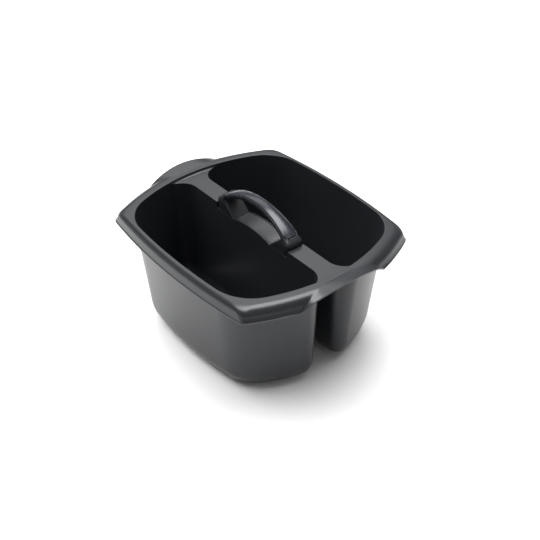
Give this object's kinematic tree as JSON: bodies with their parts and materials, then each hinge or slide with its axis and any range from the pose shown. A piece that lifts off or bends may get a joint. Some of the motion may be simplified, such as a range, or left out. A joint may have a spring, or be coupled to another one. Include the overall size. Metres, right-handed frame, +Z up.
{
  "type": "cleaning caddy",
  "caption": "Open two-compartment cleaning caddy with a rolled rim, a lifting wing at each end and an arched carrying handle over a finger recess.",
  "frame": {"origin": "middle of the base, on the surface that the caddy stands on", "axes": "+X along the handle and the deck towards one lifting wing, +Y across the two compartments, +Z up"},
  "size_m": [0.3882, 0.3282, 0.2204],
  "materials": {
    "tub": "black satin moulded polypropylene",
    "handle": "black satin moulded plastic",
    "grip": "black glossy soft-touch insert"
  },
  "bodies": {
    "root": {"tub": "tub", "handle": "handle", "grip": "grip"}
  },
  "joints": []
}
